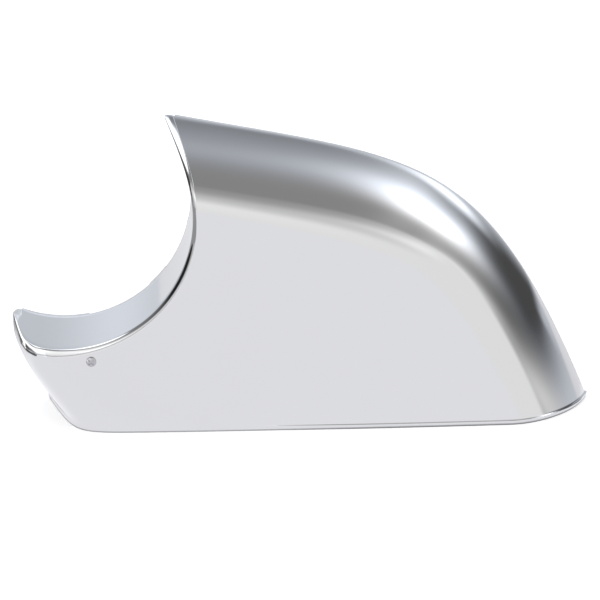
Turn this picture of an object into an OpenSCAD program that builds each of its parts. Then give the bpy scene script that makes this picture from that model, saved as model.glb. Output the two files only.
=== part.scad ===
// Wing mirror cover: one thin moulded shell, open at the back and along its straight lower edge,
// with a round scoop cut into its upper left corner and a flange that lines the scoop.
// X runs along the cover, Y runs from its front face to its open back, Z runs up from its base.

/* [Shell] */
// Length from the left tip to the right foot
cover_length = 231.4; // [215:0.2:250]
// Depth from the front face to the open back
cover_depth = 62; // [52:1:72]
// Height of the crest line where it starts, above the middle of the scoop
crest_height = 117.2; // [112:0.2:124]
// Wall thickness of the moulding
wall = 2.5; // [2:0.1:3.2]
// Fall of the crest line at its start, in degrees
crest_fall = 10.7; // [6:0.1:14]
// Lean of the right end at its foot, in degrees from upright
end_lean = 22.6; // [16:0.1:30]
// How straight the crest runs before it bends over
crest_pull = 108.8; // [95:0.1:125]
// How straight the right end rises before it bends over
end_pull = 109.1; // [90:0.1:120]

/* [Shoulder] */
// Width of the rounded shoulder along the crest
crest_shoulder = 26; // [20:0.5:32]
// Width of the rounded shoulder at the right foot
end_shoulder = 33; // [28:0.5:44]
// Draft of the top wall at the open back, in degrees
crest_draft = 5; // [2:0.5:8]
// Draft of the right wall at the open back, in degrees
end_draft = 5.5; // [3:0.5:14]
// Fullness of the shoulder section along the crest: lower is flatter
crest_weight = 0.85; // [0.5:0.05:1.4]
// Fullness of the shoulder section at the right foot
end_weight = 0.65; // [0.5:0.05:1.4]

/* [Left end] */
// How far the left foot stands in from the left tip
left_inset = 14.3; // [10:0.1:20]
// Height of the knee where the slanted left edge turns upright
knee_height = 24.7; // [18:0.1:27]
// Width of the left corner at the foot
left_corner = 32; // [20:0.5:34]
// Width of the left corner at the scoop
left_corner_top = 13; // [10:0.5:16]
// Draft of the left wall at the foot, in degrees
left_draft = 10; // [5:0.5:12]

/* [Bow of the front] */
// Slope of the front face, as a fraction
bow_slope = 0.043; // [0:0.001:0.06]
// Radius of the front face in plan
bow_radius = 2400; // [1800:50:6000]

/* [Scoop] */
// Radius of the scoop at the front face
scoop_r = 51.3; // [47:0.1:53]
// Middle of the scoop from the left tip
scoop_x = 21.4; // [18:0.1:25]
// Middle of the scoop above the base
scoop_z = 84.6; // [82:0.1:88]
// Draft of the scoop flange, in degrees
scoop_draft = 0.7; // [0:0.1:3]
// Rounding of the rim between the front face and the flange
rim_round = 2.2; // [1:0.1:2.4]
// How far the two sharp tips beside the scoop are cut back
tip_cut = 2.5; // [1.5:0.1:3.5]

/* [Hem] */
// Height of the hem along the base
hem_height = 2; // [1.5:0.1:3]
// How far the hem stands out
hem_out = 1; // [0.3:0.1:1.4]

/* [Screw] */
// Diameter of the screw head
screw_head_d = 4; // [3.4:0.1:5]
// Height of the screw head
screw_head_h = 1.1; // [0.8:0.1:1.5]
// Diameter of the screw shank
screw_d = 2.2; // [1.8:0.1:2.6]
// Length of the screw under its head
screw_length = 9; // [7:0.5:11]
// Distance of the screw's middle from the edge of the scoop
screw_gap = 5.75; // [5.2:0.05:8]
// Direction of the screw from the middle of the scoop, in degrees
screw_angle = -78.5; // [-84:0.5:-70]

/* [Inside] */
// Distance from the front to the plane on which the locating pegs end
peg_seat = 26; // [22:1:32]
// Diameter of the locating pegs
peg_d = 5; // [4:0.2:6]
// Length of a locating peg above its boss
peg_length = 7; // [5:0.5:8]
// Thickness of the ribs
rib = 1.6; // [1.2:0.1:2]
// Height of the ribs off the inner wall
rib_height = 3; // [2:0.5:4]
// Width of a snap lug
lug_width = 9; // [7:0.5:12]
// Height of a snap lug off the inner wall
lug_height = 2.4; // [1.8:0.2:3]
// Depth of the recesses between the tongues of the scoop flange
tongue = 2; // [1:0.5:3]

/* [Smoothness] */
// Steps across the shoulder
shoulder_steps = 14; // [8:2:20]
// Steps along the crest and right end
crest_steps = 34; // [20:2:44]
// Steps round the scoop
scoop_steps = 28; // [16:2:40]

/* [Hidden] */

// Steps where the form is simple
left_steps = 7;
face_steps = 5;
rim_steps = 3;
flange_steps = 2;

crest_x = 57.4;
left_rise = 44;
knee_x = 0.2;
knee_weight = 4.3;
left_corner_weight = 2.5;
left_draft_top = 4;
rim_weight = 0.8;
bow_start = 47.4;
hem_start = 95;
hem_full = 150;
right_foot = cover_length - hem_out;

// The front face's foot under the left corner and under the scoop, as shares of its run
foot_shares = [0.05, 0.25];

// The crest line leaves the scoop before this share of its length
start_limit = 0.6;

// Gap between the screw and its hole, and how far the cuts reach past what they cut
slack = 0.1;
reach_past = 1;

screw_x = scoop_x + (scoop_r + screw_gap) * cos(screw_angle);
screw_z = scoop_z + (scoop_r + screw_gap) * sin(screw_angle);

// A point of the arc that runs from a to c and is drawn towards b
function conic(a, b, c, w, s) =
    (a * pow(1 - s, 2) + b * 2 * w * s * (1 - s) + c * s * s)
    / (pow(1 - s, 2) + 2 * w * s * (1 - s) + s * s);

function bezier(a, b, c, d, t) =
    a * pow(1 - t, 3) + b * 3 * t * pow(1 - t, 2) + c * 3 * t * t * (1 - t) + d * pow(t, 3);

function mix(a, b, t) = a + (b - a) * t;

// Where f passes zero between lo, where it is negative, and hi
function root(f, lo, hi, n = 30) =
    let (mid = (lo + hi) / 2)
    n == 0 ? mid : f(mid) > 0 ? root(f, lo, mid, n - 1) : root(f, mid, hi, n - 1);

// Outlines of the open back, as [x, z]
crest_points = [
    [crest_x, crest_height],
    [crest_x, crest_height] + crest_pull * [cos(crest_fall), -sin(crest_fall)],
    [right_foot, hem_height] + end_pull * [-sin(end_lean), cos(end_lean)],
    [right_foot, hem_height]
];
function crest(t) = bezier(crest_points[0], crest_points[1], crest_points[2], crest_points[3], t);
function left_edge(u) =
    conic([left_inset, hem_height], [knee_x, knee_height], [0, left_rise], knee_weight, u);

// Fall of the crest line at t, in degrees
function crest_lean(t) = let (d = crest(t + 0.001) - crest(t - 0.001)) atan2(-d[1], d[0]);

// The way in from the crest: square to it at the start, level at the right foot
function crest_inward(t) = let (a = mix(crest_lean(t), 90, t * t)) [-sin(a), -cos(a)];

// A point of the wall section, as [distance in, y], at inset o from the outer skin
function section(width, draft, weight, s, o) =
    conic([o, cover_depth], [o + cover_depth * tan(draft), o], [width, o], weight, s);

function crest_section(t, s, o) =
    section(mix(crest_shoulder, end_shoulder, t), mix(crest_draft, end_draft, t),
        mix(crest_weight, end_weight, t), s, o);

function crest_skin(s, t, o) =
    let (
        q = crest_section(t, s, o),
        p = crest(t) + crest_inward(t) * q[0]
    )
    [p[0], q[1], p[1]];

function left_skin(s, u, o) =
    let (
        p = left_edge(u),
        rise = (p[1] - hem_height) / (left_rise - hem_height),
        q = section(mix(left_corner, left_corner_top, rise), mix(left_draft, left_draft_top, rise),
            left_corner_weight, s, o)
    )
    [p[0] + q[0], q[1], p[1]];

// The scoop is a cone about Y
function scoop_radius(y) = scoop_r - y * tan(scoop_draft);
function outside_scoop(p, extra) =
    norm([p[0] - scoop_x, p[2] - scoop_z]) - scoop_radius(p[1]) - extra;
function scoop_angle(p) = atan2(p[2] - scoop_z, p[0] - scoop_x);
function scoop_point(angle, y, extra) =
    let (r = scoop_radius(y) + extra)
    [scoop_x + r * cos(angle), y, scoop_z + r * sin(angle)];

// Grids of points: rows run from the open back to the front face, columns away from the left foot
function left_grid(o, extra) = [
    for (j = [0 : shoulder_steps])
        let (
            s = j / shoulder_steps,
            end = root(function (u) -outside_scoop(left_skin(s, u, o), extra), 0, 1)
        )
        [for (i = [0 : left_steps]) left_skin(s, end * i / left_steps, o)]
];
function crest_grid(o, extra) = [
    for (j = [0 : shoulder_steps])
        let (
            s = j / shoulder_steps,
            start = root(function (t) outside_scoop(crest_skin(s, t, o), extra), 0, start_limit)
        )
        [for (i = [0 : crest_steps]) crest_skin(s, mix(start, 1, i / crest_steps), o)]
];

function last(v) = v[len(v) - 1];
function backwards(v) = [for (i = [len(v) - 1 : -1 : 0]) v[i]];

// Edge of the skin along the scoop, from the left tip over the front face to the top tip
function scoop_edge(left, top, o, extra) =
    let (a = scoop_angle(last(last(left))), b = scoop_angle(last(top)[0]))
    concat(
        [for (row = left) last(row)],
        [for (i = [1 : scoop_steps - 1]) scoop_point(mix(a, b, i / scoop_steps), o, extra)],
        [for (row = backwards(top)) row[0]]
    );

// The front face hangs like a curtain from its upper outline down to the hem
function face_grid(left, top, edge, o) =
    let (
        arc = [for (i = [1 : scoop_steps - 1]) edge[shoulder_steps + i]],
        outline = concat(last(left), arc, last(top)),
        x0 = outline[0][0],
        x1 = last(outline)[0],
        xa = mix(x0, x1, foot_shares[0]),
        xb = mix(x0, x1, foot_shares[1]),
        foot = concat(
            [for (i = [0 : left_steps]) mix(x0, xa, i / left_steps)],
            [for (i = [1 : scoop_steps - 1]) mix(xa, xb, i / scoop_steps)],
            [for (p = last(top)) mix(xb, x1, (p[0] - last(top)[0][0]) / (x1 - last(top)[0][0]))]
        )
    )
    [
        for (k = [0 : face_steps])
            [for (i = [0 : len(outline) - 1]) mix(outline[i], [foot[i], o, hem_height], k / face_steps)]
    ];

// Path of the lower edge: along the left foot, the front and the right foot
function foot_path(left, top, face) =
    concat(
        [for (row = left) row[0]],
        [for (i = [1 : len(last(face)) - 2]) last(face)[i]],
        [for (row = backwards(top)) last(row)]
    );

// The front is bowed: it leans back towards the right, while the open back stays flat
function bow(p) =
    let (run = max(p[0] - bow_start, 0))
    [p[0], p[1] + (bow_slope * run + run * run / 2 / bow_radius) * (1 - p[1] / cover_depth), p[2]];

// Level way out of the path at point i; at the open back it stays in the back's plane
function way_out(path, i) =
    i == 0 ? [-1, 0, 0] : i == len(path) - 1 ? [1, 0, 0] :
    let (d = path[i + 1] - path[i - 1]) [d[1], -d[0], 0] / norm([d[0], d[1]]);

// The hem fades out towards the left
function hem_share(x) =
    let (f = min(max((x - hem_start) / (hem_full - hem_start), 0), 1)) f * f * (3 - 2 * f);
function hem_grid(path, rows) = [
    for (row = rows)
        [for (i = [0 : len(path) - 1])
            let (p = path[i] + way_out(path, i) * row[0] * hem_share(path[i][0])) [p[0], p[1], row[1]]]
];

// Patches: each is a grid of points and the side that it faces
function patch_points(patches) = [for (p = patches) each [for (row = p[0]) each row]];
function patch_faces(patches, n = 0, start = 0) =
    n == len(patches) ? [] :
    let (grid = patches[n][0], rows = len(grid), cols = len(grid[0]), flip = patches[n][1])
    concat(
        [
            for (r = [0 : rows - 2], c = [0 : cols - 2])
                let (a = start + r * cols + c, b = a + 1, d = a + cols, e = d + 1)
                each (flip ? [[a, e, b], [a, d, e]] : [[a, b, e], [a, e, d]])
        ],
        patch_faces(patches, n + 1, start + rows * cols)
    );

// The part is drawn from its left tip and then centred on its box, which holds the screw head too
left_tip = last(left_grid(0, 0)[0])[0];
middle = [-(left_tip + cover_length) / 2, -(cover_depth - screw_head_h) / 2, 0];

module shell() {
    // Outer skin
    left = left_grid(0, rim_round);
    top = crest_grid(0, rim_round);
    edge = scoop_edge(left, top, 0, rim_round);
    face = face_grid(left, top, edge, 0);
    // Sharp corner that the rounded rim follows, and the flange behind it
    sharp_left = left_grid(0, 0);
    sharp_top = crest_grid(0, 0);
    sharp = scoop_edge(sharp_left, sharp_top, 0, 0);
    flange_front = [
        for (i = [0 : len(sharp) - 1])
            i == 0 || i == len(sharp) - 1 ? sharp[i] :
            scoop_point(scoop_angle(sharp[i]), min(sharp[i][1] + rim_round, cover_depth), 0)
    ];
    flange_back = [
        for (i = [0 : len(sharp) - 1])
            i == 0 || i == len(sharp) - 1 ? sharp[i] : scoop_point(scoop_angle(sharp[i]), cover_depth, 0)
    ];
    rim = [
        for (k = [0 : rim_steps])
            [for (i = [0 : len(sharp) - 1])
                k == 0 ? edge[i] : k == rim_steps ? flange_front[i] :
                conic(edge[i], sharp[i], flange_front[i], rim_weight, k / rim_steps)]
    ];
    flange = [for (k = [0 : flange_steps])
        [for (i = [0 : len(sharp) - 1]) mix(flange_front[i], flange_back[i], k / flange_steps)]];
    // Inner skin, one wall thickness in
    in_left = left_grid(wall, wall);
    in_top = crest_grid(wall, wall);
    in_edge = scoop_edge(in_left, in_top, wall, wall);
    in_face = face_grid(in_left, in_top, in_edge, wall);
    in_flange_back = [
        for (i = [0 : len(in_edge) - 1])
            i == 0 || i == len(in_edge) - 1 ? in_edge[i] :
            scoop_point(scoop_angle(in_edge[i]), cover_depth, wall)
    ];
    in_flange = [for (k = [0 : flange_steps])
        [for (i = [0 : len(in_edge) - 1]) mix(in_edge[i], in_flange_back[i], k / flange_steps)]];
    // Hem
    path = [for (p = foot_path(left, top, face)) bow(p)];
    in_path = [for (p = foot_path(in_left, in_top, in_face)) bow(p)];
    hem_rows = [
        [0, hem_height], [hem_out, hem_height - hem_out / 2], [hem_out, hem_out / 2], [hem_out / 2, 0]
    ];
    hem = hem_grid(path, hem_rows);
    in_hem = hem_grid(in_path, [for (row = hem_rows) [0, row[1]]]);
    // Flat rims along the base and round the open back
    base_rim = [last(hem), last(in_hem)];
    function back_line(hem, left, tip_a, flange, tip_b, top) = concat(
        backwards([for (row = hem) row[0]]),
        left[0], tip_a, flange, tip_b, top[0],
        [for (row = hem) last(row)]
    );
    back_rim = [
        back_line(hem, left, [for (row = rim) row[0]], flange_back,
            backwards([for (row = rim) last(row)]), top),
        back_line(in_hem, in_left, [for (k = [0 : rim_steps]) in_edge[0]], in_flange_back,
            [for (k = [0 : rim_steps]) last(in_edge)], in_top)
    ];
    function bowed(grid) = [for (row = grid) [for (p = row) bow(p)]];
    patches = [
        [bowed(left), false], [bowed(top), false], [bowed(face), false], [bowed(rim), true],
        [bowed(flange), true], [hem, false],
        [bowed(in_left), true], [bowed(in_top), true], [bowed(in_face), true], [bowed(in_flange), false],
        [in_hem, true], [base_rim, false], [back_rim, true]
    ];
    polyhedron(patch_points(patches), patch_faces(patches), convexity = 6);
}

// Depth of the bowed front face at x
function front_y(x) = bow([x, 0, 0])[1];

// Distance in from the crest line to the bowed outer skin at depth y
function skin_in(t, y) =
    let (
        lag = front_y(crest(t)[0]),
        flat_y = (y - lag) / (1 - lag / cover_depth),
        s = root(function (s) flat_y - crest_section(t, s, 0)[1], 0, 1)
    )
    crest_section(t, s, 0)[0];

// Places of the inside features, as [x, z], as shares of the crest line and as angles about the scoop
peg_places = [[92, 60], [138, 38], [168, 22]];
lug_places = [0.22, 0.42, 0.62, 0.82];
web_angles = [-60, -36, -12];
base_rib_z = 9;
base_rib_x = [60, 185];
upright_ribs = [[115, 72], [153, 60]];
recess_angles = [[-150, -110], [-79, -48], [-37, -15], [-12, 70]];

// Pegs: chamfer of the tip, width of the boss's shoulder, reach of the gussets past the boss and
// their share of its height
peg_chamfer = 0.8;
peg_shoulder = 1.5;
gusset_reach = 4;
gusset_share = 0.6;

// Webs: how far they reach past the flange and how high they stand on it
web_reach = 11;
web_height = 16;

// Snap lugs: distance from the open back, length of the slope and of the crown, depth of the root
lug_back = 3;
lug_slope = 4;
lug_crown = 1.5;
lug_root = 0.7 * wall;

// Stands a drawing made in [x, y] up on the inside of the front wall, facing the open back
module on_front(x, z) {
    translate([x, front_y(x) + wall / 2, z]) rotate([-90, 0, 0]) children();
}

// A locating peg on a boss with a cross of gussets
module peg(x, z) {
    height = peg_seat - peg_length - front_y(x) - wall / 2;
    boss_r = peg_d / 2 + peg_shoulder;
    reach = boss_r + gusset_reach;
    on_front(x, z) {
        cylinder(r = boss_r, h = height, $fn = 40);
        cylinder(d = peg_d, h = height + peg_length - peg_chamfer, $fn = 40);
        translate([0, 0, height + peg_length - peg_chamfer])
            cylinder(d1 = peg_d, d2 = peg_d - 2 * peg_chamfer, h = peg_chamfer, $fn = 40);
        for (a = [0, 90]) rotate(a) translate([-reach, -rib / 2, 0])
            cube([2 * reach, rib, height * gusset_share]);
    }
}

// A level rib that follows the bow of the front wall
module level_rib(x0, x1, z) {
    steps = 6;
    xs = [for (i = [0 : steps]) mix(x0, x1, i / steps)];
    translate([0, 0, z - rib / 2]) linear_extrude(rib) polygon(concat(
        [for (x = xs) [x, front_y(x) + wall / 2]],
        [for (x = backwards(xs)) [x, front_y(x) + wall + rib_height]]
    ));
}

module upright_rib(x, z0, z1) {
    translate([x - rib / 2, front_y(x) + wall / 2, z0]) cube([rib, wall / 2 + rib_height, z1 - z0]);
}

// A wedge that snaps behind the frame of the mirror head; its slope faces the open back
module lug(t) {
    near = cover_depth - lug_back;
    crown = near - lug_slope;
    far = crown - lug_crown;
    way = crest_inward(t);
    lean = crest_lean(t);
    square_share = -way * [sin(lean), cos(lean)];
    base = crest(t) + way * skin_in(t, near);
    function height_in(y, extra) = (skin_in(t, y) - skin_in(t, near)) * square_share + extra;
    translate([base[0], 0, base[1]]) rotate([0, 90 + lean, 0])
        linear_extrude(lug_width, center = true) polygon([
            [height_in(near, lug_root), near],
            [height_in(crown, wall + lug_height), crown],
            [height_in(crown, wall + lug_height), far],
            [height_in(far, lug_root), far]
        ]);
}

// A web between the scoop flange and the front wall
module web(angle) {
    reach = scoop_r + wall + web_reach;
    foot = front_y(scoop_x + reach * cos(angle)) + wall / 2;
    translate([scoop_x, 0, scoop_z]) rotate([0, -angle, 0]) linear_extrude(rib, center = true)
        polygon([[scoop_r + wall / 2, foot], [reach, foot], [scoop_r + wall / 2, foot + web_height]]);
}

// A shallow recess in the back edge of the flange, beside its tongues
module recess(a0, a1) {
    r = scoop_radius(cover_depth);
    translate([scoop_x, cover_depth + reach_past, scoop_z]) rotate([90, 0, 0]) rotate(a0)
        rotate_extrude(angle = a1 - a0, $fn = 96)
            translate([r - reach_past, 0]) square([wall + 2 * reach_past, tongue + reach_past]);
}

// Cuts a tip square to its own middle line; out is the way to the tip's point, as [x, z]
module tip_cutter(tip, out) {
    reach = 3 * tip_cut;
    translate([tip[0] - out[0] * tip_cut, -reach_past, tip[2] - out[1] * tip_cut])
        rotate([0, -atan2(out[1], out[0]), 0])
            translate([0, 0, -reach]) cube([reach, cover_depth + 2 * reach_past, 2 * reach]);
}

module tip_cutters() {
    low = last(left_grid(0, 0)[0]);
    high = crest_grid(0, 0)[0][0];
    low_angle = scoop_angle(low);
    high_angle = scoop_angle(high);
    low_out = [0, 1] + [sin(low_angle), -cos(low_angle)];
    high_out = [-cos(crest_fall), sin(crest_fall)] + [-sin(high_angle), cos(high_angle)];
    tip_cutter(low, low_out / norm(low_out));
    tip_cutter(high, high_out / norm(high_out));
}

module screw_boss() {
    on_front(screw_x, screw_z) cylinder(d = screw_d + 2 * wall, h = screw_length, $fn = 40);
}

module screw_hole() {
    translate([screw_x, -reach_past, screw_z]) rotate([-90, 0, 0])
        cylinder(d = screw_d + slack, h = screw_length + wall + reach_past, $fn = 32);
}

module cover() {
    color("silver") translate(middle) difference() {
        union() {
            shell();
            for (p = peg_places) peg(p[0], p[1]);
            for (t = lug_places) lug(t);
            for (a = web_angles) web(a);
            for (u = upright_ribs) upright_rib(u[0], base_rib_z, u[1]);
            level_rib(base_rib_x[0], base_rib_x[1], base_rib_z);
            screw_boss();
        }
        for (a = recess_angles) recess(a[0], a[1]);
        tip_cutters();
        screw_hole();
    }
}

module fixing_screw() {
    dome_r = (pow(screw_head_d / 2, 2) + pow(screw_head_h, 2)) / (2 * screw_head_h);
    slot = 0.6 * screw_head_d;
    slot_width = 0.2 * slot;
    slot_floor = 0.4 * screw_head_h;
    color("gray") translate(middle) translate([screw_x, 0, screw_z]) rotate([90, 0, 0]) difference() {
        union() {
            intersection() {
                translate([0, 0, screw_head_h - dome_r]) sphere(dome_r, $fn = 64);
                cylinder(d = screw_head_d, h = screw_head_h, $fn = 48);
            }
            translate([0, 0, -screw_length]) cylinder(d = screw_d, h = screw_length, $fn = 32);
        }
        for (a = [45, 135]) rotate(a) translate([-slot / 2, -slot_width / 2, slot_floor])
            cube([slot, slot_width, screw_head_h]);
    }
}

cover();
fixing_screw();
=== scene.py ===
# Looks of the wing mirror cover: a finer version of its moulded shell and its screw, in a pale studio
from math import cos, pi, radians, sin, tan

import bmesh
import bpy
import numpy as np
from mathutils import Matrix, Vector


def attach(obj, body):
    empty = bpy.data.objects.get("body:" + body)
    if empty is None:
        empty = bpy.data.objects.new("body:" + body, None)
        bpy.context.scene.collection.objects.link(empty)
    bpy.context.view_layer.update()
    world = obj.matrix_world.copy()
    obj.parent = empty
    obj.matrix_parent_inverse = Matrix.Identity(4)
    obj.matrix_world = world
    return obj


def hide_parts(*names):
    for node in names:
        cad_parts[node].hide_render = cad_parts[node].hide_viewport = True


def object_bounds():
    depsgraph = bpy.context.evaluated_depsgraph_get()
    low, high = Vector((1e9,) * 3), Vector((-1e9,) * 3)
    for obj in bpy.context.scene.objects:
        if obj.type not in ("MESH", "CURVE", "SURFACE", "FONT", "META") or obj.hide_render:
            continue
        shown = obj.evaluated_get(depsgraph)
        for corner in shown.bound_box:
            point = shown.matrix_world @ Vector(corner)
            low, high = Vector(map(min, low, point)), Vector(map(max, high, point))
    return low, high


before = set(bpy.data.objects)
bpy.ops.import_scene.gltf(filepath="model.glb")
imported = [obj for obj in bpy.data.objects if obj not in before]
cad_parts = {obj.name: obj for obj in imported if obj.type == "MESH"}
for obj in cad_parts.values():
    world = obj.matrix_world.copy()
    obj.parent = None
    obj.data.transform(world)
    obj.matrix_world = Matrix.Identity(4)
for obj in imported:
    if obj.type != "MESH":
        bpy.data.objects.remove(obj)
bounds_before = [list(v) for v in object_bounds()]

# Sizes of the cover in mm: its left tip is at x = 0, its front face at y = 0, its base at z = 0
LENGTH, DEPTH, CREST_HEIGHT, WALL = 231.4, 62.0, 117.2, 2.5
CREST_X, CREST_FALL, CREST_PULL = 57.4, radians(10.7), 108.8
END_LEAN, END_PULL = radians(22.6), 109.1
CREST_SHOULDER, END_SHOULDER = 26.0, 33.0
CREST_DRAFT, END_DRAFT = 5.0, 5.5
CREST_WEIGHT, END_WEIGHT = 0.85, 0.65
LEFT_INSET, KNEE_X, KNEE_HEIGHT, KNEE_WEIGHT, LEFT_RISE = 14.3, 0.2, 24.7, 4.3, 44.0
LEFT_CORNER, LEFT_CORNER_TOP, LEFT_CORNER_WEIGHT = 32.0, 13.0, 2.5
LEFT_DRAFT, LEFT_DRAFT_TOP = 10.0, 4.0
BOW_START, BOW_BLEND, BOW_SLOPE, BOW_RADIUS = 47.4, 18.0, 0.043, 2400.0
SCOOP_R, SCOOP_X, SCOOP_Z, SCOOP_DRAFT = 51.3, 21.4, 84.6, tan(radians(0.7))
RIM_ROUND, RIM_STRIP, RIM_STRIP_BACK, RIM_PROUD = 2.2, 0.73, 0.5, 0.14
TIP_CUTS = (2.5, 1.6)
# Along the rim from the left tip to the top tip: share of its length, width, depth of the turn into the
# flange, and width of the groove outside it
RIM_PLACES = [0, 0.14, 0.21, 0.26, 0.29, 0.335, 0.365, 0.4, 0.5, 0.55, 0.6, 0.7, 0.76, 0.82, 0.88, 0.95, 1]
RIM_WIDTHS = [2.6, 2.9, 3.1, 3.0, 2.7, 2.3, 2.0, 1.8, 1.75, 1.75, 1.85, 1.85, 2.2, 2.4, 2.7, 3.0, 3.0]
RIM_DEPTHS = [5.2, 4.0, 3.0, 2.0, 1.5, 1.5, 2.2, 2.4, 4.5, 5.0, 4.5, 3.0, 3.0, 3.6, 4.6, 5.2, 5.2]
RIM_GROOVES = [0, 0, 0, 0.3, 0.5, 0.35, 0.3, 0.3, 0.35, 0.3, 0.0, 0.0, 0.0, 0.0, 0.0, 0.0, 0.0]
HEM_HEIGHT, HEM_OUT, HEM_START, HEM_FULL, HEM_EDGE, LIP_FALL = 2.0, 1.0, 95.0, 150.0, 0.3, 0.14
RIGHT_FOOT = LENGTH - HEM_OUT
FOOT_SHARES = (0.05, 0.25)
SCREW_X, SCREW_Z, SCREW_D, SCREW_LENGTH, SCREW_HEAD_D, SCREW_HEAD_H = 32.774, 28.695, 2.2, 9.0, 4.0, 1.096
SLACK = 0.1
PEG_SEAT, PEG_D, PEG_LENGTH, PEG_CHAMFER, PEG_SHOULDER = 26.0, 5.0, 7.0, 0.8, 1.5
GUSSET_REACH, GUSSET_SHARE = 4.0, 0.6
PEG_PLACES = [(92, 60), (138, 38), (168, 22)]
RIB, RIB_HEIGHT, LUG_WIDTH, LUG_HEIGHT, TONGUE = 1.6, 3.0, 9.0, 2.4, 2.0
UPRIGHT_RIBS, BASE_RIB_X, BASE_RIB_Z = [(115, 72), (153, 60)], (60, 185), 9
LUG_PLACES, LUG_BACK, LUG_SLOPE, LUG_CROWN, LUG_ROOT = [0.22, 0.42, 0.62, 0.82], 3.0, 4.0, 1.5, 0.7 * WALL
WEB_ANGLES, WEB_REACH, WEB_HEIGHT = [-60, -36, -12], 11.0, 16.0
RECESS_ANGLES = [(-150, -110), (-79, -48), (-37, -15), (-12, 70)]
MIDDLE = np.array([-115.736, -30.45, 0.0])

# The levels of the studio: the pale room, what is behind it, low and high, and the strip low down behind
ROOM_LEVEL, BACK_LEVELS, STRIP_LEVEL, LEAST_LEVEL = 0.955, (0.02, 0.299), 0.532, 0.02
BACK_TINT = (-0.05, 0.0, 0.08)
# A light is azimuth, elevation, width, height, turn and level, with the angles in degrees. Azimuth 0 is the
# front, 90 the right, 180 the back
KEY = (-30, 36, 24, 22, 0, 0.75)
LEFT_DARK = (-92, 10, 30, 26, 0, -0.56)
BACK_PANEL = (-158, 50, 29, 15.5, 52, 1.5)
BACK_BOXES = [(163.8, 18.3, 52.9, 5.6, -55.2, 0.3), (130.9, 35.1, 9.2, 12.4, -21.8, 1.5),
              (145.3, 39.4, 13.3, 9.2, -10.5, 1.12), (80, 35, 23.3, 8.4, -44.9, 1.4),
              (124.5, 34.2, 10.8, 30.9, 57.7, 0.27), (128.9, 2.6, 60, 3, -10.8, 0.67),
              (111.2, 8.3, 12.6, 4.5, 3.7, 0.11)]
STRIP_BOXES = [(156.9, 16, 8.2, 3.8, 18, 1.3), (165, -8.4, 60, 11.2, 33.8, 0.43)]
# The dark card: the place it is measured from as (x, y), its direction and distance from there, half width,
# softness and the heights between which its lower and upper edge fade, in metres, and its level
CARD_FROM = (0.085, 0.010)
CARD_WAY, CARD_AWAY, CARD_HALF, CARD_SOFT, CARD_LEVEL = 144.1, 0.1555, 0.040, 0.028, 0.076
CARD_LOW, CARD_HIGH = (0.0385, 0.0525), (0.0788, 0.153)
# The pale card, bent round the left tip, in mm: its foot as (x, y), and for its lower and its upper edge the
# stretch of y over which the height changes and the two heights. Then its level
BENT_LINE, BENT_LEVEL = [(-2, -38), (-22, -10), (-30, 15), (-30, 190)], 1.5
BENT_LOW, BENT_HIGH = (50, 100, 23, 4), (40, 80, 50, 38)
# The floor: the light that it adds for the camera, and its level in reflections, in front and behind, with
# the stretch of y in mm between the two
FLOOR_SEEN, FLOOR_TINT, FLOOR_LEVELS = 0.45, (0.995, 1.0, 1.035, 1), (60, 150, 0.97, 0.81)
# To the left the mirrored floor is dark, with these levels far out and near and the stretch of x between
# them, beyond the lowest of these lines, given as x at y = 0 and slope, in mm
FLOOR_DARK, FLOOR_BORDER = (-110, -60, 0.36, 0.09), 1.5
FLOOR_LINES = [(-7.9, -0.05), (34.1, -0.25), (-45.1, 1.8)]
FLOOR_STEP = (-45.1, (-62.7, 0.32))
# The mirrored floor also darkens this close to the object, a painted contact shadow, in metres
FLOOR_NEAR = 0.0014

# The camera, in metres and degrees: its aim, its distance and direction, and the size of a pixel at the aim
CAMERA_AIM, CAMERA_AWAY, CAMERA_WAY = (-0.001363, -0.03045, 0.053), 2.1, (-1.15, 12.0)
PIXEL, PICTURE, SENSOR = 0.00039, 600, 36.0

# Steps of the fine meshes, and the share that the last row beside the hem takes of its way
ROUND_STEPS = 64
FINE = {"shoulder": 36, "crest": 150, "scoop": 110, "left": 26, "face": 20, "flange": 10}
LEFT_GAP, CREST_GAP, FACE_GAP = 0.02, 0.0015, 0.006


def mix(a, b, t):
    return a + (b - a) * t


def smooth(t):
    t = np.clip(t, 0, 1)
    return t * t * (3 - 2 * t)


def conic(a, b, c, w, s):
    """A point of the arc that runs from a to c and is drawn towards b"""
    share_a, share_b, share_c = (1 - s) ** 2, 2 * w * s * (1 - s), s * s
    return (a * share_a + b * share_b + c * share_c) / (share_a + share_b + share_c)


CREST = np.array([
    [CREST_X, CREST_HEIGHT],
    [CREST_X + CREST_PULL * cos(CREST_FALL), CREST_HEIGHT - CREST_PULL * sin(CREST_FALL)],
    [RIGHT_FOOT - END_PULL * sin(END_LEAN), HEM_HEIGHT + END_PULL * cos(END_LEAN)],
    [RIGHT_FOOT, HEM_HEIGHT]])


def crest(t):
    """The outline of the open back, as x and z"""
    t = np.asarray(t, float)[..., None]
    return (CREST[0] * (1 - t) ** 3 + CREST[1] * 3 * t * (1 - t) ** 2
            + CREST[2] * 3 * t * t * (1 - t) + CREST[3] * t ** 3)


def crest_lean(t):
    d = crest(t + 0.001) - crest(t - 0.001)
    return np.arctan2(-d[..., 1], d[..., 0])


def crest_inward(t):
    a = mix(crest_lean(t), pi / 2, t * t)
    return np.stack([-np.sin(a), -np.cos(a)], -1)


def section(width, draft, weight, s, o):
    """The wall section at inset o: the distance in and the depth"""
    return (conic(o, o + DEPTH * np.tan(np.radians(draft)), width, weight, s),
            conic(DEPTH, o, o, weight, s))


def crest_section(t, s, o):
    return section(mix(CREST_SHOULDER, END_SHOULDER, t), mix(CREST_DRAFT, END_DRAFT, t),
                   mix(CREST_WEIGHT, END_WEIGHT, t), s, o)


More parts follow.
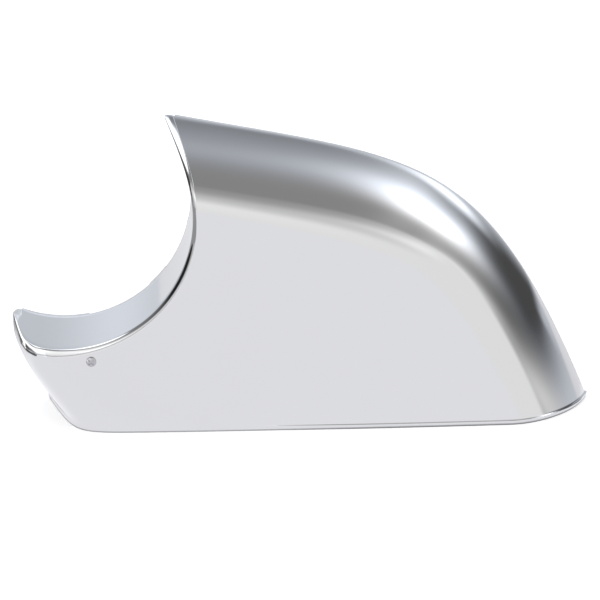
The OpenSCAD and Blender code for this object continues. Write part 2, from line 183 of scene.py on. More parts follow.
def crest_skin(s, t, o):
    inward, y = crest_section(t, s, o)
    p = crest(t) + crest_inward(t) * inward[..., None]
    return np.stack([p[..., 0], y, p[..., 1]], -1)


def left_skin(s, u, o):
    x = conic(LEFT_INSET, KNEE_X, 0.0, KNEE_WEIGHT, u)
    z = conic(HEM_HEIGHT, KNEE_HEIGHT, LEFT_RISE, KNEE_WEIGHT, u)
    rise = (z - HEM_HEIGHT) / (LEFT_RISE - HEM_HEIGHT)
    inward, y = section(mix(LEFT_CORNER, LEFT_CORNER_TOP, rise), mix(LEFT_DRAFT, LEFT_DRAFT_TOP, rise),
                        LEFT_CORNER_WEIGHT, s, o)
    return np.stack([x + inward, y, z + 0 * inward], -1)


def scoop_radius(y):
    return SCOOP_R - y * SCOOP_DRAFT


def outside_scoop(p, extra):
    return np.hypot(p[..., 0] - SCOOP_X, p[..., 2] - SCOOP_Z) - scoop_radius(p[..., 1]) - extra


def scoop_angle(p):
    return np.arctan2(p[..., 2] - SCOOP_Z, p[..., 0] - SCOOP_X)


def scoop_point(angle, y, extra):
    r = scoop_radius(y) + extra
    return np.stack([SCOOP_X + r * np.cos(angle), y + 0 * angle, SCOOP_Z + r * np.sin(angle)], -1)


def root(f, lo, hi):
    """Where f passes zero between lo, where it is negative, and hi"""
    for _ in range(40):
        mid = (lo + hi) / 2
        high = f(mid) > 0
        hi = np.where(high, mid, hi)
        lo = np.where(high, lo, mid)
    return (lo + hi) / 2


def steps_to_edge(count, gap):
    """Even steps from 0 to 1, with one more close to the end, where the skin meets an edge"""
    return np.insert(np.linspace(0, 1, count + 1), count, 1 - gap)


def left_grid(n, o, extra):
    s = np.linspace(0, 1, n["shoulder"] + 1)
    end = root(lambda u: -outside_scoop(left_skin(s, u, o), extra), 0 * s, 0 * s + 1)
    u = end[:, None] * (1 - steps_to_edge(n["left"], LEFT_GAP)[::-1])
    return left_skin(s[:, None] + 0 * u, u, o)


def crest_grid(n, o, extra):
    s = np.linspace(0, 1, n["shoulder"] + 1)
    start = root(lambda t: outside_scoop(crest_skin(s, t, o), extra), 0 * s, 0 * s + 0.6)
    t = mix(start[:, None], 1.0, steps_to_edge(n["crest"], CREST_GAP))
    return crest_skin(s[:, None] + 0 * t, t, o)


def scoop_edge(n, left, top, o, extra):
    """Edge of the skin along the scoop, from the left tip over the front face to the top tip"""
    a, b = scoop_angle(left[-1][-1]), scoop_angle(top[-1][0])
    arc = scoop_point(mix(a, b, np.arange(1, n["scoop"]) / n["scoop"]), o, extra)
    return np.concatenate([left[:, -1], arc, top[::-1, 0]])


def face_grid(n, left, top, edge, o):
    """The front face hangs like a curtain from its upper outline down to the hem"""
    arc = edge[n["shoulder"] + 1:n["shoulder"] + n["scoop"]]
    outline = np.concatenate([left[-1], arc, top[-1]])
    x0, x1 = outline[0][0], outline[-1][0]
    xa, xb = mix(x0, x1, FOOT_SHARES[0]), mix(x0, x1, FOOT_SHARES[1])
    foot_x = np.concatenate([
        mix(x0, xa, np.arange(n["left"] + 2) / (n["left"] + 1)),
        mix(xa, xb, np.arange(1, n["scoop"]) / n["scoop"]),
        mix(xb, x1, (top[-1][:, 0] - top[-1][0][0]) / (x1 - top[-1][0][0]))])
    foot = np.stack([foot_x, 0 * foot_x + o, 0 * foot_x + HEM_HEIGHT], -1)
    return mix(outline[None], foot[None], steps_to_edge(n["face"], FACE_GAP)[:, None, None])


def front_y(x):
    """Depth of the bowed front face, whose bow starts softly"""
    d = np.asarray(x, float) - BOW_START
    run = np.where(d > BOW_BLEND, d, np.where(d < -BOW_BLEND, 0, (d + BOW_BLEND) ** 2 / (4 * BOW_BLEND)))
    return BOW_SLOPE * run + np.maximum(d, 0) ** 2 / 2 / BOW_RADIUS


def bow(p):
    q = np.array(p, float)
    q[..., 1] += front_y(q[..., 0]) * (1 - q[..., 1] / DEPTH)
    return q


def wall_middle(x):
    """Depth of the middle of the front wall, where what stands on its inside has its root"""
    return float(front_y(x)) + WALL / 2


def hem_grid(path, rows):
    """Rows of (way out, height, share of the rounding) along the lower edge"""
    d = np.zeros_like(path)
    d[1:-1] = path[2:] - path[:-2]
    way = np.stack([d[:, 1], -d[:, 0], 0 * d[:, 0]], -1)
    way[0], way[-1] = (-1, 0, 0), (1, 0, 0)
    way /= np.linalg.norm(way, axis=1)[:, None]
    share = smooth((path[:, 0] - HEM_START) / (HEM_FULL - HEM_START))
    grid = []
    for out, z, inset in rows:
        row = path + way * (share * out - inset)[:, None]
        row[:, 2] = z
        grid.append(row)
    return np.array(grid)


def rim_profile(strip_end):
    """Shares of the way to the sharp corner and on to the flange, and of the bead's height"""
    a = np.array([0, 0.06, 0.13, 0.2, 0.3, 0.4, 0.5, 0.6, 0.7, 0.8, 0.9, 1.0]) * strip_end
    strip = np.stack([a, 0.27 * a + 0.295 * a * a, np.minimum(np.arange(12) * 0.5, 1)], -1)
    foot, end = strip[-1], np.array([1.0, 1.0, 0.0])
    corner = np.array([1.0, foot[1] + 0.7 * (1 - strip_end), 0.6])
    return np.concatenate([strip, [conic(foot, corner, end, 0.9, t) for t in np.linspace(0, 1, 11)[1:]]])


def length_along(line):
    return np.concatenate([[0], np.cumsum(np.linalg.norm(np.diff(line, axis=0), axis=1))])


def evened(values, reach):
    """Each value becomes the mean of its neighbours on both sides"""
    count = 2 * reach + 1
    return np.convolve(np.pad(values, reach, mode="edge"), np.ones(count) / count, "valid")


def rim_sizes(n):
    """Width, depth and groove of the rim at every point along it"""
    left, top = left_grid(n, 0, RIM_ROUND), crest_grid(n, 0, RIM_ROUND)
    run = length_along(scoop_edge(n, left, top, 0, RIM_ROUND))
    tables = (RIM_WIDTHS, RIM_DEPTHS, RIM_GROOVES)
    return [evened(np.interp(run / run[-1], RIM_PLACES, table), 4) for table in tables]


def rim_frame(edge, sharp):
    """Along the rim: the way out of the skin, and how far the skin faces away from the front"""
    normal = np.cross(np.gradient(sharp, axis=0), sharp - edge)
    normal /= np.maximum(np.linalg.norm(normal, axis=1), 1e-9)[:, None]
    normal *= -np.sign(normal[len(normal) // 2, 1])
    facing = evened(np.abs(normal[:, 1]), 6)
    return normal, smooth((0.95 - facing) / 0.4)


def rim_grid(edge, sharp, flange, normal, away, groove):
    """The rim beside the scoop: a thin groove, then a sloped strip that stands slightly proud and turns
    tightly into the flange"""
    rows = mix(rim_profile(RIM_STRIP)[:, :, None], rim_profile(RIM_STRIP_BACK)[:, :, None], away)
    share = np.clip(groove / np.linalg.norm(sharp - edge, axis=1), 0.02, 0.5)
    run = length_along(sharp)
    fade = smooth(np.minimum(run, run[-1] - run) / 3)
    dip_across, dip = np.array([[0, 0.25, 0.5, 0.75], [0, -0.8, -1.1, -0.8]])[:, :, None]
    across = np.concatenate([dip_across * share, share + (1 - share) * rows[:, 0]])
    down = np.concatenate([0 * across[:len(dip)], rows[:, 1]])
    lift = np.concatenate([dip * groove, rows[:, 2] * RIM_PROUD]) * fade
    return (edge[None] + (sharp - edge)[None] * across[..., None] + (flange - sharp)[None] * down[..., None]
            + normal[None] * lift[..., None])


def make_mesh(name, points, faces):
    mesh = bpy.data.meshes.new(name)
    mesh.from_pydata([tuple(p) for p in points], [], faces)
    mesh.validate()
    obj = bpy.data.objects.new(name, mesh)
    bpy.context.collection.objects.link(obj)
    return obj


def tidy_mesh(obj, merge=2e-7):
    """Joins points that lie together and turns all faces outwards"""
    bm = bmesh.new()
    bm.from_mesh(obj.data)
    bmesh.ops.remove_doubles(bm, verts=bm.verts, dist=merge)
    bmesh.ops.dissolve_degenerate(bm, edges=bm.edges, dist=merge)
    bmesh.ops.recalc_face_normals(bm, faces=bm.faces)
    bm.to_mesh(obj.data)
    bm.free()


def hem_rows():
    """The lip from the skin outwards and down to the base: way out, height and share of the rounding"""
    brow = HEM_HEIGHT * (1 - LIP_FALL)
    rows = []
    for a in np.linspace(0, 1, 6):
        rows.append((HEM_OUT * (1 - (1 - a) ** 2) ** 0.5, mix(HEM_HEIGHT, brow, a), 0.0))
    for a in np.linspace(0, 1, 7)[1:]:
        rows.append((HEM_OUT * mix(1, 0.5, a * a), mix(brow, 0.0, a), HEM_EDGE * max(0.0, 2 * a - 1) ** 2))
    return rows


def grid_mesh(name, grids):
    """One mesh of grids of points in mm. Points that lie together become one before the mesh is made, so no
    face repeats a point"""
    points, quads = [], []
    start = 0
    for g in grids:
        r, c = g.shape[:2]
        points.append(g.reshape(-1, 3))
        ids = start + np.arange(r * c).reshape(r, c)
        quads.append(np.stack([ids[:-1, :-1], ids[:-1, 1:], ids[1:, 1:], ids[1:, :-1]], -1).reshape(-1, 4))
        start += r * c
    points = np.clip((np.concatenate(points) + MIDDLE) / 1000, *bounds_before)
    _, first, same = np.unique(np.round(points, 7), axis=0, return_index=True, return_inverse=True)
    rings = [list(dict.fromkeys(ring)) for ring in same.reshape(-1)[np.concatenate(quads)].tolist()]
    mesh = make_mesh(name, points[first], [ring for ring in rings if len(ring) > 2])
    tidy_mesh(mesh)
    return mesh


def build_shell():
    n = FINE
    width, depth, groove = rim_sizes(n)
    side = n["shoulder"] + 1
    left, top = left_grid(n, 0, width[:side]), crest_grid(n, 0, width[:-side - 1:-1])
    edge = scoop_edge(n, left, top, 0, width[side:-side])
    face = face_grid(n, left, top, edge, 0)
    sharp = scoop_edge(n, left_grid(n, 0, 0), crest_grid(n, 0, 0), 0, 0)
    angle = scoop_angle(sharp)
    normal, away = rim_frame(edge, sharp)
    front = scoop_point(angle, np.minimum(sharp[:, 1] + depth, DEPTH), 0)
    back = scoop_point(angle, np.full(len(angle), DEPTH), 0)
    for line in (front, back):
        line[0], line[-1] = sharp[0], sharp[-1]
    rim = rim_grid(edge, sharp, front, normal, away, groove)
    flange = mix(front[None], back[None], np.linspace(0, 1, n["flange"] + 1)[:, None, None])
    in_left, in_top = left_grid(n, WALL, WALL), crest_grid(n, WALL, WALL)
    in_edge = scoop_edge(n, in_left, in_top, WALL, WALL)
    in_face = face_grid(n, in_left, in_top, in_edge, WALL)
    in_back = scoop_point(scoop_angle(in_edge), np.full(len(in_edge), DEPTH), WALL)
    in_back[0], in_back[-1] = in_edge[0], in_edge[-1]
    in_flange = mix(in_edge[None], in_back[None], np.linspace(0, 1, n["flange"] + 1)[:, None, None])

    def foot_path(left, top, face):
        return bow(np.concatenate([left[:, 0], face[-1][1:-1], top[::-1, -1]]))

    hem = hem_grid(foot_path(left, top, face), hem_rows())
    in_rows = [(0.0, height, 0.0) for _, height, _ in hem_rows()]
    in_hem = hem_grid(foot_path(in_left, in_top, in_face), in_rows)

    def back_line(hem, left, tip_a, flange, tip_b, top):
        return np.concatenate([hem[::-1, 0], left[0], tip_a, flange, tip_b, top[0], hem[:, -1]])

    repeat = np.ones((len(rim), 1))
    back_rim = np.array([
        back_line(hem, left, rim[:, 0], back, rim[::-1, -1], top),
        back_line(in_hem, in_left, repeat * in_edge[0], in_back, repeat * in_edge[-1], in_top)])
    base_rim = np.array([hem[-1], in_hem[-1]])
    outer = [bow(g) for g in (left, top, face, rim, flange)] + [hem]
    inner = [bow(g) for g in (in_left, in_top, in_face, in_flange)] + [in_hem]
    return grid_mesh("cover_fine", outer + inner + [base_rim, back_rim])


def solid(rings):
    """A closed solid through rings of points, given in mm in the shell's own place"""
    rings = np.array(rings, float)
    r, c = rings.shape[:2]
    ids = np.arange(r * c).reshape(r, c)
    faces = [[int(ids[i, j]), int(ids[i, (j + 1) % c]), int(ids[i + 1, (j + 1) % c]), int(ids[i + 1, j])]
             for i in range(r - 1) for j in range(c)]
    faces += [[int(k) for k in ids[0][::-1]], [int(k) for k in ids[-1]]]
    obj = make_mesh("part", (rings.reshape(-1, 3) + MIDDLE) / 1000, faces)
    tidy_mesh(obj)
    return obj


def rod(x, z, sizes):
    """A round solid about Y through (depth, radius) pairs"""
    a = np.linspace(0, 2 * pi, ROUND_STEPS, endpoint=False)
    return solid([np.stack([x + r * np.cos(a), 0 * a + y, z + r * np.sin(a)], -1) for y, r in sizes])


def block(x0, x1, y0, y1, z0, z1):
    return solid([[(x, y0, z0), (x, y1, z0), (x, y1, z1), (x, y0, z1)] for x in (x0, x1)])


def skin_in(t, y):
    """Distance in from the crest line to the outer skin at depth y"""
    lag = float(front_y(crest(t)[0]))
    flat_y = (y - lag) / (1 - lag / DEPTH)
    s = root(lambda s: flat_y - crest_section(t, s, 0)[1], np.float64(0), np.float64(1))
    return float(crest_section(t, s, 0)[0])


def lug(t):
    """A wedge under the crest, at share t of its length, that snaps behind the frame of the mirror head"""
    near = DEPTH - LUG_BACK
    crown, far = near - LUG_SLOPE, near - LUG_SLOPE - LUG_CROWN
    way, lean = crest_inward(t), float(crest_lean(t))
    along, square = np.array([cos(lean), -sin(lean)]), np.array([-sin(lean), -cos(lean)])
    share = float(way @ square)
    base = crest(t) + way * skin_in(t, near)

    def height(y, extra):
        return (skin_in(t, y) - skin_in(t, near)) * share + extra

    outline = [(height(near, LUG_ROOT), near), (height(crown, WALL + LUG_HEIGHT), crown),
               (height(crown, WALL + LUG_HEIGHT), far), (height(far, LUG_ROOT), far)]
    rings = []
    for side in (-LUG_WIDTH / 2, LUG_WIDTH / 2):
        ring = []
        for h, y in outline:
            p = base + along * side + square * h
            ring.append((p[0], y, p[1]))
        rings.append(ring)
    return solid(rings)


def web(degrees_round):
    """A triangular web between the front wall and the flange of the scoop"""
    a = radians(degrees_round)
    reach = SCOOP_R + WALL + WEB_REACH
    foot = wall_middle(SCOOP_X + reach * cos(a))
    outline = [(SCOOP_R + WALL / 2, foot), (reach, foot), (SCOOP_R + WALL / 2, foot + WEB_HEIGHT)]
    return solid([[(SCOOP_X + r * cos(a) - side * sin(a), y, SCOOP_Z + r * sin(a) + side * cos(a))
                   for r, y in outline] for side in (-RIB / 2, RIB / 2)])


def recess(a0, a1):
    """A sector of a ring that takes the back edge of the flange down beside its tongues"""
    steps = max(4, int(abs(a1 - a0) / 2))
    r0, r1 = scoop_radius(DEPTH) - 2.5, scoop_radius(DEPTH) + WALL + 1
    low, high = DEPTH - TONGUE, DEPTH + 1
    outline = [(r0, low), (r1, low), (r1, high), (r0, high)]
    return solid([[(SCOOP_X + r * cos(a), y, SCOOP_Z + r * sin(a)) for r, y in outline]
                  for a in np.radians(np.linspace(a0, a1, steps))])


def tip_cutter(tip, way_a, way_b, cut):
    """Rounds a tip off; the ways are those in which its two sides run out to the point, as (x, z)"""
    way_a, way_b = np.array(way_a), np.array(way_b)
    half = np.arccos(np.clip(way_a @ way_b, -1, 1)) / 2
    out = (way_a + way_b) / np.linalg.norm(way_a + way_b)
    side = np.array([-out[1], out[0]])
    r = cut * sin(half) / (1 - sin(half))
    middle = np.array([tip[0], tip[2]]) - out * (cut + r)
    turns = np.linspace(pi / 2 - half, half - pi / 2, 17)
    wide, low, far = side * 7.5, out * r * cos(pi / 2 - half), out * 12
    ring = [middle + wide + low] + [middle + side * r * sin(t) + out * r * cos(t) for t in turns]
    ring += [middle - wide + low, middle - wide + far, middle + wide + far]
    return solid([[(p[0], y, p[1]) for p in ring] for y in (-1, DEPTH + 1)])


def tip_cutters():
    low = left_grid(FINE, 0, 0)[0][-1]
    high = crest_grid(FINE, 0, 0)[0][0]
    a, b = scoop_angle(low), scoop_angle(high)
    return [tip_cutter(low, (0, 1), (sin(a), -cos(a)), TIP_CUTS[0]),
            tip_cutter(high, (-cos(CREST_FALL), sin(CREST_FALL)), (-sin(b), cos(b)), TIP_CUTS[1])]


def join(parts):
    """One object of several that lie apart"""
    bm = bmesh.new()
    for part in parts:
        bm.from_mesh(part.data)
        bpy.data.objects.remove(part)
    mesh = bpy.data.meshes.new("joined")
    bm.to_mesh(mesh)
    bm.free()
    obj = bpy.data.objects.new("joined", mesh)
    bpy.context.collection.objects.link(obj)
    return obj


def combine(body, tool, operation):
    """The exact union or difference of two solids; the tool is used up"""
    mod = body.modifiers.new("combine", "BOOLEAN")
    mod.operation, mod.solver, mod.object = operation, "EXACT", tool
    apply_modifiers(body)
    bpy.data.objects.remove(tool)


def apply_modifiers(obj):
    bpy.context.view_layer.update()
    evaluated = obj.evaluated_get(bpy.context.evaluated_depsgraph_get())
    mesh = bpy.data.meshes.new_from_object(evaluated)
    obj.modifiers.clear()
    obj.data = mesh


def peg(x, z):
    shoulder, boss_r = PEG_SEAT - PEG_LENGTH, PEG_D / 2 + PEG_SHOULDER
    return rod(x, z, [(wall_middle(x), boss_r), (shoulder, boss_r), (shoulder, PEG_D / 2),
                      (PEG_SEAT - PEG_CHAMFER, PEG_D / 2), (PEG_SEAT, PEG_D / 2 - PEG_CHAMFER)])


def gussets(x, z):
    """The level and the upright gusset of a peg"""
    foot = wall_middle(x)
    top = mix(foot, PEG_SEAT - PEG_LENGTH, GUSSET_SHARE)
    reach = PEG_D / 2 + PEG_SHOULDER + GUSSET_REACH
    return (block(x - reach, x + reach, foot, top, z - RIB / 2, z + RIB / 2),
            block(x - RIB / 2, x + RIB / 2, foot, top, z - reach, z + reach))


def base_rib():
    xs = np.linspace(*BASE_RIB_X, 7)
    outline = [(x, wall_middle(x)) for x in xs]
    outline += [(x, wall_middle(x) + WALL / 2 + RIB_HEIGHT) for x in xs[::-1]]
    return solid([[(x, y, z) for x, y in outline] for z in (BASE_RIB_Z - RIB / 2, BASE_RIB_Z + RIB / 2)])


def upright_rib(x, z):
    foot = wall_middle(x)
    return block(x - RIB / 2, x + RIB / 2, foot, foot + WALL / 2 + RIB_HEIGHT, BASE_RIB_Z, z)


def build_cover():
    shell = build_shell()
    boss_y, boss_r, hole_r = wall_middle(SCREW_X), SCREW_D / 2 + WALL, (SCREW_D + SLACK) / 2
    screw_boss = rod(SCREW_X, SCREW_Z, [(boss_y, boss_r), (boss_y + SCREW_LENGTH, boss_r)])
    mounts = [peg(*place) for place in PEG_PLACES] + [lug(t) for t in LUG_PLACES]
    mounts += [web(a) for a in WEB_ANGLES] + [screw_boss]
    level, upright = [list(group) for group in zip(*(gussets(*place) for place in PEG_PLACES))]
    level.append(base_rib())
    upright += [upright_rib(*rib) for rib in UPRIGHT_RIBS]
    for group in (mounts, level, upright):
        combine(shell, join(group), "UNION")
    hole = rod(SCREW_X, SCREW_Z, [(-1, hole_r), (SCREW_LENGTH + WALL, hole_r)])
    combine(shell, join([hole] + [recess(*angles) for angles in RECESS_ANGLES]), "DIFFERENCE")
    combine(shell, join(tip_cutters()), "DIFFERENCE")
    return shell


def build_screw():
    """Small domed screw with a cross recess"""
    r, h, side, chamfer = SCREW_HEAD_D / 2, SCREW_HEAD_H, 0.22, 0.06
    profile = [(SCREW_LENGTH, 0.55 * SCREW_D / 2), (SCREW_LENGTH - 0.5, SCREW_D / 2), (0.0, SCREW_D / 2),
               (0.0, r - chamfer), (-chamfer, r), (-side, r)]
    profile += [(-mix(side, h, sin(k)), r * cos(k) * 0.985) for k in np.linspace(0.12, pi / 2, 12)[:-1]]
    profile.append((-h, 0.02))
    body = rod(SCREW_X, SCREW_Z, profile)
    for turn in (45, 135):
        t = radians(turn)
        along, side = np.array([cos(t), sin(t)]), np.array([-sin(t), cos(t)])
        rings = []
        for y, length, width in ((-h - 0.3, 1.55, 0.4), (-0.1, 1.1, 0.28)):
            ring = [along * length + side * width, -along * length + side * width,
                    -along * length - side * width, along * length - side * width]
            rings.append([(SCREW_X + p[0], y, SCREW_Z + p[1]) for p in ring])
        combine(body, solid(rings), "DIFFERENCE")
    body.name = "fixing_screw_fine"
    return body


def soften(obj, width, limit):
    """Small roundings on sharp edges"""
    mod = obj.modifiers.new("soften", "BEVEL")
    mod.width, mod.segments, mod.limit_method, mod.angle_limit = width, 2, "ANGLE", radians(limit)
    mod.use_clamp_overlap, mod.harden_normals = True, False
    apply_modifiers(obj)


def shade(obj, angle):
    for poly in obj.data.polygons:
        poly.use_smooth = True
    obj.data.set_sharp_from_angle(angle=radians(angle))


class Nodes:
    """Short ways to build a node tree"""

    def __init__(self, tree):
        self.tree = tree
        tree.nodes.clear()

    def add(self, kind, **values):
        node = self.tree.nodes.new(kind)
        for key, value in values.items():
            setattr(node, key, value)
        return node

    def put(self, socket, value):
        if isinstance(value, bpy.types.NodeSocket):
            self.tree.links.new(value, socket)
        else:
            socket.default_value = value

    def math(self, operation, *values):
        node = self.add("ShaderNodeMath", operation=operation)
        for socket, value in zip(node.inputs, values):
            self.put(socket, value)
        return node.outputs[0]

    def dot(self, vector, direction):
        node = self.add("ShaderNodeVectorMath", operation="DOT_PRODUCT")
        self.put(node.inputs[0], vector)
        self.put(node.inputs[1], direction)
        return node.outputs["Value"]

    def ramp(self, value, lo, hi, a=0.0, b=1.0):
        node = self.add("ShaderNodeMapRange", interpolation_type="SMOOTHSTEP")
        for socket, v in zip(node.inputs, (value, lo, hi, a, b)):
            self.put(socket, v)
        return node.outputs[0]

    def total(self, *values):
        result = values[0]
        for v in values[1:]:
            result = self.math("ADD", result, v)
        return result

    def product(self, *values):
        result = values[0]
        for v in values[1:]:
            result = self.math("MULTIPLY", result, v)
        return result


def metal(name, color, roughness, wander, scale):
    """Bright metal whose gloss wanders a little"""
    material = bpy.data.materials.new(name)
    material.use_nodes = True
    n = Nodes(material.node_tree)
    shader = n.add("ShaderNodeBsdfPrincipled")
    shader.inputs["Base Color"].default_value = (*color, 1)
    shader.inputs["Metallic"].default_value = 1.0
    place = n.add("ShaderNodeTexCoord")
    noise = n.add("ShaderNodeTexNoise")
    noise.inputs["Scale"].default_value = scale
    noise.inputs["Detail"].default_value = 3.0
    n.put(noise.inputs["Vector"], place.outputs["Object"])
    gloss = n.ramp(noise.outputs["Fac"], 0.3, 0.7, roughness - wander, roughness + wander)
    n.put(shader.inputs["Roughness"], gloss)
    out = n.add("ShaderNodeOutputMaterial")
    n.put(out.inputs["Surface"], shader.outputs[0])
    return material


def give(obj, material):
    obj.data.materials.clear()
    obj.data.materials.append(material)
    for poly in obj.data.polygons:
        poly.material_index = 0


def toward(azimuth, elevation):
    """Direction from the object: azimuth 0 is the front, 90 the right, 180 the back"""
    a, e = radians(azimuth), radians(elevation)
    return (sin(a) * cos(e), -cos(a) * cos(e), sin(e))


def sideways(azimuth):
    """Level direction at right angles to an azimuth"""
    return Vector((cos(radians(azimuth)), sin(radians(azimuth)), 0))


def spread(n, way, azimuth, elevation, width, height, turn):
    """Grows from 0 in the middle of a light to 1 at its width and height; and whether that side is faced"""
    t = radians(turn)
    across, upwards = sideways(azimuth), Vector(toward(azimuth, elevation + 90))
    u = (across * cos(t) + upwards * sin(t)) / sin(radians(width))
    v = (upwards * cos(t) - across * sin(t)) / sin(radians(height))
    x, y = n.dot(way, tuple(u)), n.dot(way, tuple(v))
    q = n.total(n.math("MULTIPLY", x, x), n.math("MULTIPLY", y, y))
    return q, n.math("GREATER_THAN", n.dot(way, toward(azimuth, elevation)), 0.0)


def glow(n, way, *box):
    """A soft light that fades outwards from its middle"""
    q, near_side = spread(n, way, *box[:5])
    return n.product(n.math("EXPONENT", n.math("MULTIPLY", q, -1.0)), near_side, box[5])


def panel(n, way, *box):
    """A light with a clear edge"""
    q, near_side = spread(n, way, *box[:5])
    return n.product(n.ramp(q, 1.2, 0.8), near_side, box[5])


def build_world():
    world = bpy.data.worlds.new("studio")
    bpy.context.scene.world = world
    world.use_nodes = True
    n = Nodes(world.node_tree)
    way = n.add("ShaderNodeTexCoord").outputs["Generated"]
    front, up = n.dot(way, (0, -1, 0)), n.dot(way, (0, 0, 1))
    # A pale room in front and on both sides, under a dimmer ceiling
    edge = n.math("SUBTRACT", front, n.ramp(up, 0.3, 1.0, -0.096, 0.094))
    room = n.math("MULTIPLY", n.ramp(edge, -0.055, 0.055), n.ramp(up, 1.051, 0.488))
    # Soft boxes high up behind
    back = n.ramp(up, 0.083, 0.514, *BACK_LEVELS)
    for box in BACK_BOXES:
        back = n.math("ADD", back, glow(n, way, *box))
    # A pale strip low down behind
    strip = n.math("MULTIPLY", n.ramp(up, 0.383, 0.359), n.ramp(n.dot(way, (0, 1, 0)), 0.78, 0.84))
    strip_level = STRIP_LEVEL
    for box in STRIP_BOXES:
        strip_level = n.math("ADD", strip_level, glow(n, way, *box))
    back = n.total(n.product(back, n.math("SUBTRACT", 1.0, strip)), n.product(strip, strip_level))
    rooms = n.total(n.math("MULTIPLY", room, ROOM_LEVEL), n.product(n.math("SUBTRACT", 1.0, room), back))
    level = n.total(rooms, glow(n, way, *KEY), panel(n, way, *BACK_PANEL), glow(n, way, *LEFT_DARK))
    level = n.math("MAXIMUM", level, LEAST_LEVEL)
    # Behind, the light is slightly blue
    behind = n.ramp(front, -0.35, -0.7)
    color = n.add("ShaderNodeCombineColor")
    for socket, tint in zip(color.inputs, BACK_TINT):
        n.put(socket, n.product(level, n.total(n.math("MULTIPLY", behind, tint), 1.0)))
    shown = n.add("ShaderNodeMix", data_type="RGBA")
    n.put(shown.inputs[0], n.add("ShaderNodeLightPath").outputs["Is Camera Ray"])
    n.put(shown.inputs[6], color.outputs[0])
    n.put(shown.inputs[7], (1.0, 1.0, 1.0, 1.0))
    ground = n.add("ShaderNodeBackground")
    n.put(ground.inputs["Color"], shown.outputs[2])
    out = n.add("ShaderNodeOutputWorld")
    n.put(out.inputs["Surface"], ground.outputs[0])


def mirrored_only(obj, n, share, level):
    """Gives a card a level that shows only in mirrored light, to the share given at each point"""
    shine, clear = n.add("ShaderNodeEmission"), n.add("ShaderNodeBsdfTransparent")
    n.put(shine.inputs["Strength"], level)
    both = n.add("ShaderNodeMixShader")
    n.put(both.inputs[0], share)
    n.put(both.inputs[1], clear.outputs[0])
    n.put(both.inputs[2], shine.outputs[0])
    out = n.add("ShaderNodeOutputMaterial")
    n.put(out.inputs["Surface"], both.outputs[0])
    obj.visible_camera = obj.visible_diffuse = obj.visible_shadow = False


def new_nodes(obj):
    """An empty material for the object, and the place of each point as a vector"""
    material = bpy.data.materials.new(obj.name)
    material.use_nodes = True
    give(obj, material)
    n = Nodes(material.node_tree)
    return n, n.add("ShaderNodeTexCoord").outputs["Object"]


def build_dark_card():
    """A dark card with soft edges behind on the right"""
    away, across = Vector(toward(CARD_WAY, 0)), sideways(CARD_WAY)
    foot, spare = Vector((*CARD_FROM, 0)) + away * CARD_AWAY, 0.002
    w, z0, z1 = CARD_HALF + CARD_SOFT, CARD_LOW[0] - spare, CARD_HIGH[1] + spare
    corners = [foot + across * x + Vector((0, 0, z)) for x, z in ((-w, z0), (w, z0), (w, z1), (-w, z1))]
    card = make_mesh("dark_card", corners, [[0, 1, 2, 3]])
    n, place = new_nodes(card)
    aside = n.math("ABSOLUTE", n.math("SUBTRACT", n.dot(place, tuple(across)), foot.dot(across)))
    height = n.dot(place, (0, 0, 1))
    share = n.product(n.ramp(aside, CARD_HALF + CARD_SOFT, CARD_HALF - CARD_SOFT),
                      n.ramp(height, *CARD_LOW), n.ramp(height, CARD_HIGH[1], CARD_HIGH[0]))
    mirrored_only(card, n, share, CARD_LEVEL)


def place_in_mm(n, place):
    """Sideways and backwards places in mm, measured like the sizes of the cover"""
    x = n.math("ADD", n.dot(place, (1000, 0, 0)), -MIDDLE[0])
    y = n.math("ADD", n.dot(place, (0, 1000, 0)), -MIDDLE[1])
    return x, y


def build_pale_card():
    """A low pale card bent round the left tip"""
    points = [(np.array([x, y, z]) + MIDDLE) / 1000 for x, y in BENT_LINE for z in (1, 60)]
    faces = [[i, i + 2, i + 3, i + 1] for i in range(0, 2 * len(BENT_LINE) - 2, 2)]
    card = make_mesh("pale_card", points, faces)
    n, place = new_nodes(card)
    y, height = place_in_mm(n, place)[1], n.dot(place, (0, 0, 1000))
    above = n.math("SUBTRACT", height, n.ramp(y, *BENT_LOW))
    below = n.math("SUBTRACT", n.ramp(y, *BENT_HIGH), height)
    mirrored_only(card, n, n.product(n.ramp(above, 0, 3), n.ramp(below, -8, 8)), BENT_LEVEL)


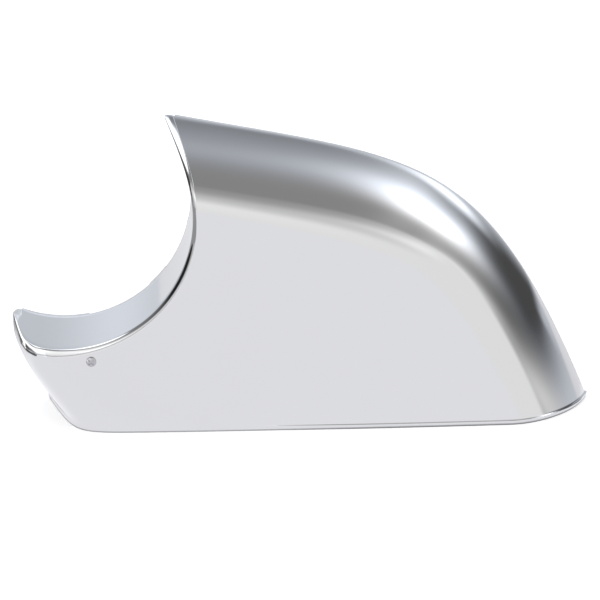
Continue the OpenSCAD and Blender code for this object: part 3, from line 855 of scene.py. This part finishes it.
def build_floor():
    """White floor that takes the shadow. In reflections it shows painted light instead of lit floor: pale,
    darker behind and dark to the left, with a painted contact shadow close to the object
    """
    size = 4.0
    corners = [(-size, -size, 0), (size, -size, 0), (size, size, 0), (-size, size, 0)]
    floor = make_mesh("floor", corners, [[0, 1, 2, 3]])
    n, place = new_nodes(floor)
    matt = n.add("ShaderNodeBsdfDiffuse")
    matt.inputs["Color"].default_value = (0.9, 0.9, 0.9, 1)
    path = n.add("ShaderNodeLightPath")
    lift, pale = n.add("ShaderNodeEmission"), n.add("ShaderNodeEmission")
    n.put(lift.inputs["Strength"], n.math("MULTIPLY", path.outputs["Is Camera Ray"], FLOOR_SEEN))
    pale.inputs["Color"].default_value = FLOOR_TINT
    x, y = place_in_mm(n, place)
    low, line = FLOOR_STEP
    border = n.math("MAXIMUM", low, n.math("MULTIPLY_ADD", y, line[1], line[0]))
    for start, slope in FLOOR_LINES:
        border = n.math("MINIMUM", border, n.math("MULTIPLY_ADD", y, slope, start))
    light, dark = n.ramp(y, *FLOOR_LEVELS), n.ramp(x, *FLOOR_DARK)
    level = n.ramp(n.math("SUBTRACT", x, border), -FLOOR_BORDER, FLOOR_BORDER, dark, light)
    # Painted contact shadow: the floor's mirrored light fades where the object is close
    painted_contact_shadow = n.add("ShaderNodeAmbientOcclusion")
    painted_contact_shadow.inputs["Distance"].default_value = FLOOR_NEAR
    n.put(pale.inputs["Strength"], n.math("MULTIPLY", level, painted_contact_shadow.outputs["AO"]))
    both, shown = n.add("ShaderNodeAddShader"), n.add("ShaderNodeMixShader")
    n.put(both.inputs[0], matt.outputs[0])
    n.put(both.inputs[1], lift.outputs[0])
    n.put(shown.inputs[0], path.outputs["Is Glossy Ray"])
    n.put(shown.inputs[1], both.outputs[0])
    n.put(shown.inputs[2], pale.outputs[0])
    out = n.add("ShaderNodeOutputMaterial")
    n.put(out.inputs["Surface"], shown.outputs[0])


def build_camera():
    aim = Vector(CAMERA_AIM)
    camera = bpy.data.objects.new("camera", bpy.data.cameras.new("camera"))
    bpy.context.collection.objects.link(camera)
    camera.location = aim + Vector(toward(*CAMERA_WAY)) * CAMERA_AWAY
    camera.rotation_euler = (aim - camera.location).to_track_quat("-Z", "Y").to_euler()
    camera.data.sensor_width = SENSOR
    camera.data.lens = SENSOR * (CAMERA_AWAY / PIXEL) / PICTURE
    camera.data.clip_start, camera.data.clip_end = 0.1, 20.0
    bpy.context.scene.camera = camera


cover = build_cover()
soften(cover, width=0.00025, limit=50)
tidy_mesh(cover, merge=1e-7)
shade(cover, angle=40)
give(cover, metal("bright_plating", (0.74, 0.74, 0.748), roughness=0.09, wander=0.015, scale=60.0))
screw = build_screw()
shade(screw, angle=35)
give(screw, metal("screw_steel", (0.5, 0.5, 0.52), roughness=0.13, wander=0.03, scale=400.0))
for piece, node, slot in ((cover, "cover", "plated_shell"), (screw, "fixing_screw", "screw_steel")):
    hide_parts(node)
    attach(piece, "root")

build_world()
build_dark_card()
build_pale_card()
build_floor()
build_camera()
bpy.context.scene.view_settings.view_transform = "Standard"
